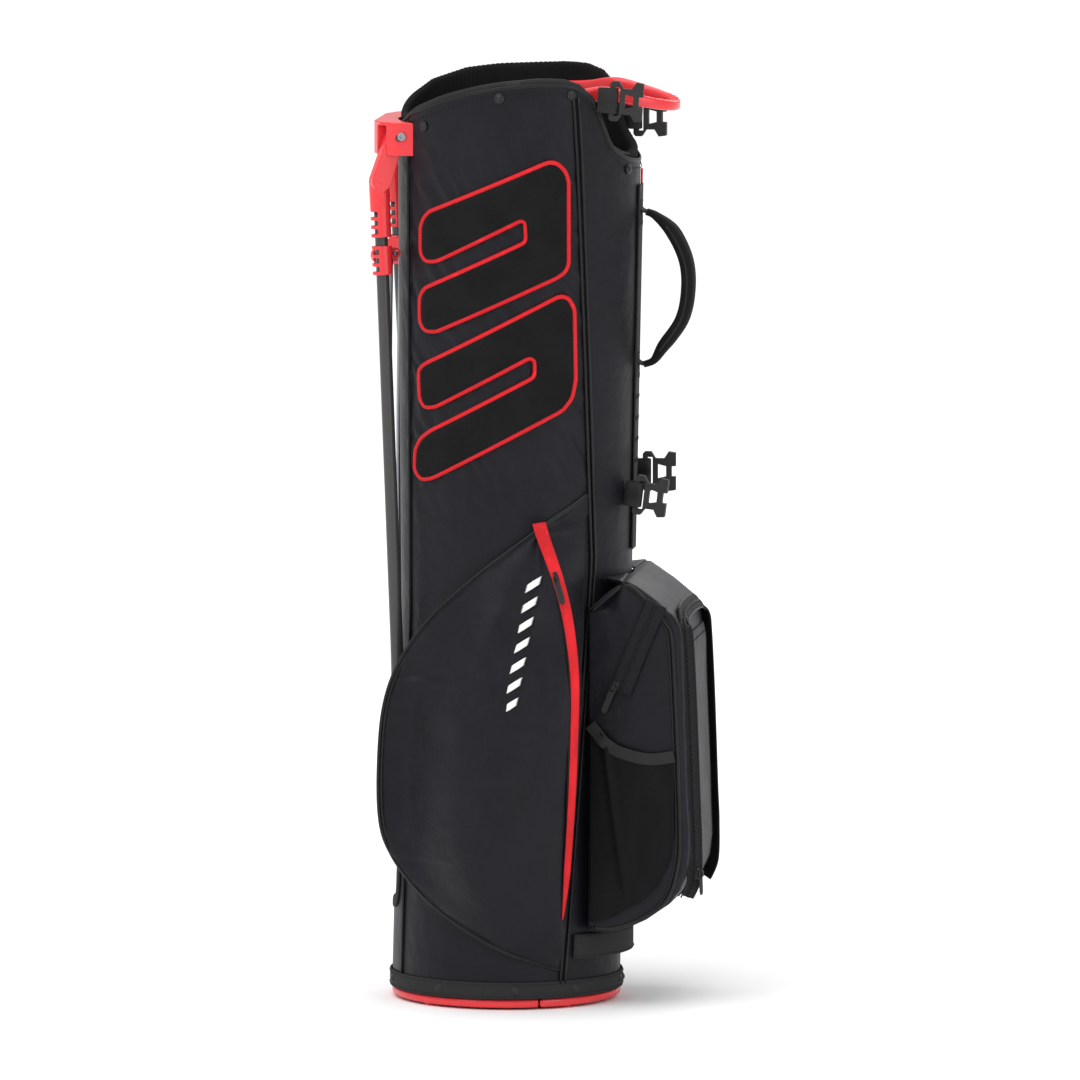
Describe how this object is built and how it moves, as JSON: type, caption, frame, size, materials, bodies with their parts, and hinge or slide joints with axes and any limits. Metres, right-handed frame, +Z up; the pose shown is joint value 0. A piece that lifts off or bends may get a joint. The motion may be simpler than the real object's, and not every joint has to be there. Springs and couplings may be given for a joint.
{
  "type": "golf stand bag",
  "caption": "Slim oval golf stand bag with folding legs driven by a tilting sole, padded side, zipped pockets, strap buckles, and carry and lift handles.",
  "frame": {"origin": "middle of the base, on the ground", "axes": "+Z up the bag towards the club mouth; +X towards the spine, with the ball pocket, carry handle and strap buckles; the legs fold against the -X side; -Y is the side with the padded pattern"},
  "size_m": [0.3182, 0.2946, 0.8742],
  "materials": {
    "fabric": "coated woven nylon, charcoal black, satin",
    "spine_fabric": "plain woven polyester and mesh, black",
    "padding": "matte knitted cover over foam, black",
    "webbing": "woven polyester webbing, black",
    "black_plastic": "moulded acetal and nylon, black",
    "red_plastic": "moulded nylon, red, semi-gloss",
    "carbon": "pultruded carbon-look composite, satin lacquer",
    "steel": "plated steel wire, satin",
    "zip_metal": "die-cast zinc, painted black",
    "zip_pull": "moulded soft pull, black",
    "rubber": "moulded rubber, black"
  },
  "bodies": {
    "bag": {"ball_pocket": "fabric", "base_cup": "black_plastic", "club_divider": "padding", "cuff_lining": "padding", "cuff_ring": "black_plastic", "far_apparel_pocket": "fabric", "far_housing_screw": "steel", "far_leg_pivot_pin": "steel", "far_lower_web": "webbing", "far_side_panel": "fabric", "far_side_stay": "carbon", "far_upper_web": "webbing", "grab_anchor_lower": "webbing", "grab_anchor_upper": "webbing", "hip_pad_lower": "padding", "hip_pad_upper": "padding", "leg_housing": "red_plastic", "leg_side_panel": "fabric", "lift_handle": "red_plastic", "mesh_pocket": "spine_fabric", "near_apparel_pocket": "fabric", "near_housing_screw": "steel", "near_leg_pivot_pin": "steel", "near_lower_web": "webbing", "near_side_panel": "fabric", "near_side_stay": "carbon", "near_upper_web": "webbing", "rear_sole": "red_plastic", "sole_hinge_pin": "steel", "spine_panel": "spine_fabric", "spine_stay": "carbon", "trunk_strap": "webbing"},
    "near_leg": {"near_leg_knuckle": "red_plastic", "near_leg_tube": "carbon", "near_leg_collar": "red_plastic", "near_leg_foot": "rubber"},
    "far_leg": {"far_leg_knuckle": "red_plastic", "far_leg_tube": "carbon", "far_leg_collar": "red_plastic", "far_leg_foot": "rubber"},
    "near_rod": {"near_link_rod": "steel"},
    "far_rod": {"far_link_rod": "steel"},
    "sole_front": {"front_sole": "red_plastic"},
    "near_apparel_slide": {"near_apparel_zip_slider": "zip_metal"},
    "near_apparel_tab": {"near_apparel_zip_pull": "zip_pull"},
    "far_apparel_slide": {"far_apparel_zip_slider": "zip_metal"},
    "far_apparel_tab": {"far_apparel_zip_pull": "zip_pull"},
    "valuables_slide": {"valuables_zip_slider": "zip_metal"},
    "valuables_tab": {"valuables_zip_pull": "zip_pull"},
    "ball_slide": {"ball_zip_slider": "zip_metal"},
    "ball_tab": {"ball_zip_pull": "zip_pull"},
    "grab": {"grab_handle": "padding"},
    "near_lower_clip": {"near_lower_buckle": "black_plastic"},
    "far_lower_clip": {"far_lower_buckle": "black_plastic"},
    "near_upper_clip": {"near_upper_buckle": "black_plastic"},
    "far_upper_clip": {"far_upper_buckle": "black_plastic"}
  },
  "joints": [
    {"name": "near_leg_swing", "type": "hinge", "parent": "bag", "child": "near_leg", "pos_m": [-0.0984, -0.046, 0.8115], "axis": [-0.4402, 0.8965, -0.05], "range_deg": [0, 30], "stiffness_Nm_per_rad": 0.4, "springref_deg": -31.51},
    {"name": "far_leg_swing", "type": "hinge", "parent": "bag", "child": "far_leg", "pos_m": [-0.0984, 0.046, 0.8115], "axis": [0.4402, 0.8965, 0.05], "range_deg": [0, 30], "stiffness_Nm_per_rad": 0.4, "springref_deg": -31.51},
    {"name": "near_rod_swing", "type": "hinge", "parent": "near_leg", "child": "near_rod", "pos_m": [-0.099, -0.039, 0.703], "axis": [0.462, -0.8863, -0.033], "range_deg": [0, 34.67]},
    {"name": "far_rod_swing", "type": "hinge", "parent": "far_leg", "child": "far_rod", "pos_m": [-0.099, 0.039, 0.703], "axis": [-0.462, -0.8863, 0.033], "range_deg": [0, 34.67]},
    {"name": "sole_tilt", "type": "hinge", "parent": "bag", "child": "sole_front", "pos_m": [0.044, 0, 0.0152], "axis": [0, 1, 0], "range_deg": [0, 7.44]},
    {"name": "near_apparel_zip_run", "type": "hinge", "parent": "bag", "child": "near_apparel_slide", "pos_m": [-0.29958, 0.15607, 0.25579], "axis": [0.5909, 0.8054, 0.0463], "range_deg": [0, 37.71]},
    {"name": "far_apparel_zip_run", "type": "hinge", "parent": "bag", "child": "far_apparel_slide", "pos_m": [-0.29958, -0.15607, 0.25579], "axis": [-0.5909, 0.8054, -0.0463], "range_deg": [0, 37.71]},
    {"name": "near_apparel_pull_flip", "type": "hinge", "parent": "near_apparel_slide", "child": "near_apparel_tab", "pos_m": [0.06443, -0.12488, 0.41136], "axis": [-0.9276, -0.2929, -0.2317], "range_deg": [0, 120]},
    {"name": "far_apparel_pull_flip", "type": "hinge", "parent": "far_apparel_slide", "child": "far_apparel_tab", "pos_m": [0.06443, 0.12488, 0.41136], "axis": [0.9276, -0.2929, 0.2317], "range_deg": [0, 120]},
    {"name": "valuables_zip_run", "type": "slide", "parent": "bag", "child": "valuables_slide", "axis": [0.3831, -0.0352, 0.923], "range_m": [0, 0.075]},
    {"name": "valuables_pull_flip", "type": "hinge", "parent": "valuables_slide", "child": "valuables_tab", "pos_m": [0.11345, -0.08592, 0.304], "axis": [-0.9191, 0.0846, 0.3848], "range_deg": [0, 120]},
    {"name": "ball_zip_run", "type": "slide", "parent": "bag", "child": "ball_slide", "axis": [-0.0304, -0.0217, 0.9993], "range_m": [0, 0.21]},
    {"name": "ball_pull_flip", "type": "hinge", "parent": "ball_slide", "child": "ball_tab", "pos_m": [0.19322, -0.06781, 0.12813], "axis": [-0.301, -0.9532, -0.0299], "range_deg": [0, 120]},
    {"name": "grab_handle_flop", "type": "hinge", "parent": "bag", "child": "grab", "pos_m": [0.133, 0, 0.741], "axis": [-0.014, 0, -0.9999], "range_deg": [-30, 30]},
    {"name": "near_lower_buckle_turn", "type": "hinge", "parent": "bag", "child": "near_lower_clip", "pos_m": [0.1285, -0.03, 0.479], "axis": [0.1196, -0.006, 0.9928], "range_deg": [-15, 15]},
    {"name": "far_lower_buckle_turn", "type": "hinge", "parent": "bag", "child": "far_lower_clip", "pos_m": [0.1285, 0.03, 0.494], "axis": [0, 0, 1], "range_deg": [-15, 15]},
    {"name": "near_upper_buckle_turn", "type": "hinge", "parent": "bag", "child": "near_upper_clip", "pos_m": [0.1105, -0.07, 0.851], "axis": [0.0599, 0.003, 0.9982], "range_deg": [-15, 15]},
    {"name": "far_upper_buckle_turn", "type": "hinge", "parent": "bag", "child": "far_upper_clip", "pos_m": [0.115, 0.066, 0.824], "axis": [0, 0, 1], "range_deg": [-15, 15]}
  ],
  "couplings": [
    {"joint": "far_leg_swing", "follows": "near_leg_swing", "ratio": 1},
    {"joint": "near_rod_swing", "follows": "near_leg_swing", "ratio": 1.1554},
    {"joint": "far_rod_swing", "follows": "near_leg_swing", "ratio": 1.1554},
    {"joint": "sole_tilt", "follows": "near_leg_swing", "ratio": 0.24765}
  ]
}
